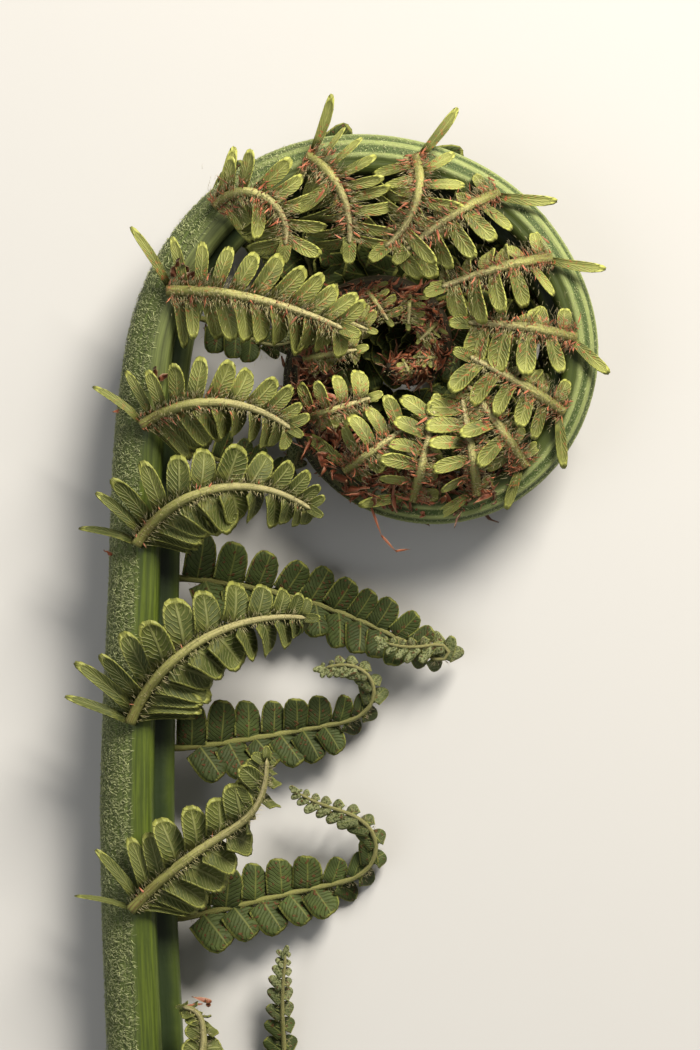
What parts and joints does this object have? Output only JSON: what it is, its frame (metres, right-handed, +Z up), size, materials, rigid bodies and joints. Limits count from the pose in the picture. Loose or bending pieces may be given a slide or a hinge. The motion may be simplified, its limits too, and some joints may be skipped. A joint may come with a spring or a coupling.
{
  "type": "fern frond",
  "caption": "Young fern frond with its tip still coiled, cut from the plant and lying on its side, with paired lobed leaflets along a grooved hairy stalk.",
  "frame": {"origin": "centre of the bounding box on the ground plane: the frond lies on its far side, so Z = 0 is the surface that it rests on", "axes": "+Y along the straight stalk from the cut end to the coiled tip, +X across the stalk towards the side that the tip coils to, +Z up, from the far row of leaflets to the near row"},
  "size_m": [0.0522, 0.1126, 0.0168],
  "materials": {
    "stalk": "living green stalk under short pale hairs",
    "leaflet_underside": "soft green leaflet with pale veins, satin",
    "leaflet_upperside": "darker green leaflet face, satin"
  },
  "bodies": {
    "root": {"rachis": "stalk", "pinna_near_01": "leaflet_underside", "pinna_near_02": "leaflet_underside", "pinna_near_03": "leaflet_underside", "pinna_near_04": "leaflet_underside", "pinna_near_05": "leaflet_underside", "pinna_near_06": "leaflet_underside", "pinna_near_07": "leaflet_underside", "pinna_near_08": "leaflet_underside", "pinna_near_09": "leaflet_underside", "pinna_near_10": "leaflet_underside", "pinna_near_11": "leaflet_underside", "pinna_near_12": "leaflet_underside", "pinna_near_13": "leaflet_underside", "pinna_near_14": "leaflet_underside", "pinna_near_15": "leaflet_underside", "pinna_near_16": "leaflet_underside", "pinna_near_17": "leaflet_underside", "pinna_near_18": "leaflet_underside", "pinna_near_19": "leaflet_underside", "pinna_near_20": "leaflet_underside", "pinna_near_21": "leaflet_underside", "pinna_near_22": "leaflet_underside", "pinna_near_23": "leaflet_underside", "pinna_near_24": "leaflet_underside", "pinna_near_25": "leaflet_underside", "pinna_far_01": "leaflet_upperside", "pinna_far_02": "leaflet_upperside", "pinna_far_03": "leaflet_upperside", "pinna_far_04": "leaflet_upperside", "pinna_far_05": "leaflet_upperside", "pinna_far_06": "leaflet_upperside", "pinna_far_07": "leaflet_upperside", "pinna_far_08": "leaflet_upperside", "pinna_far_09": "leaflet_upperside", "pinna_far_10": "leaflet_upperside", "pinna_far_11": "leaflet_upperside", "pinna_far_12": "leaflet_upperside", "pinna_far_13": "leaflet_upperside", "pinna_far_14": "leaflet_upperside", "pinna_far_15": "leaflet_upperside", "pinna_far_16": "leaflet_upperside", "pinna_far_17": "leaflet_upperside", "pinna_far_18": "leaflet_upperside", "pinna_far_19": "leaflet_upperside", "pinna_far_20": "leaflet_upperside", "pinna_far_21": "leaflet_upperside", "pinna_far_22": "leaflet_upperside", "pinna_far_23": "leaflet_upperside", "pinna_far_24": "leaflet_upperside", "pinna_far_25": "leaflet_upperside"}
  },
  "joints": []
}
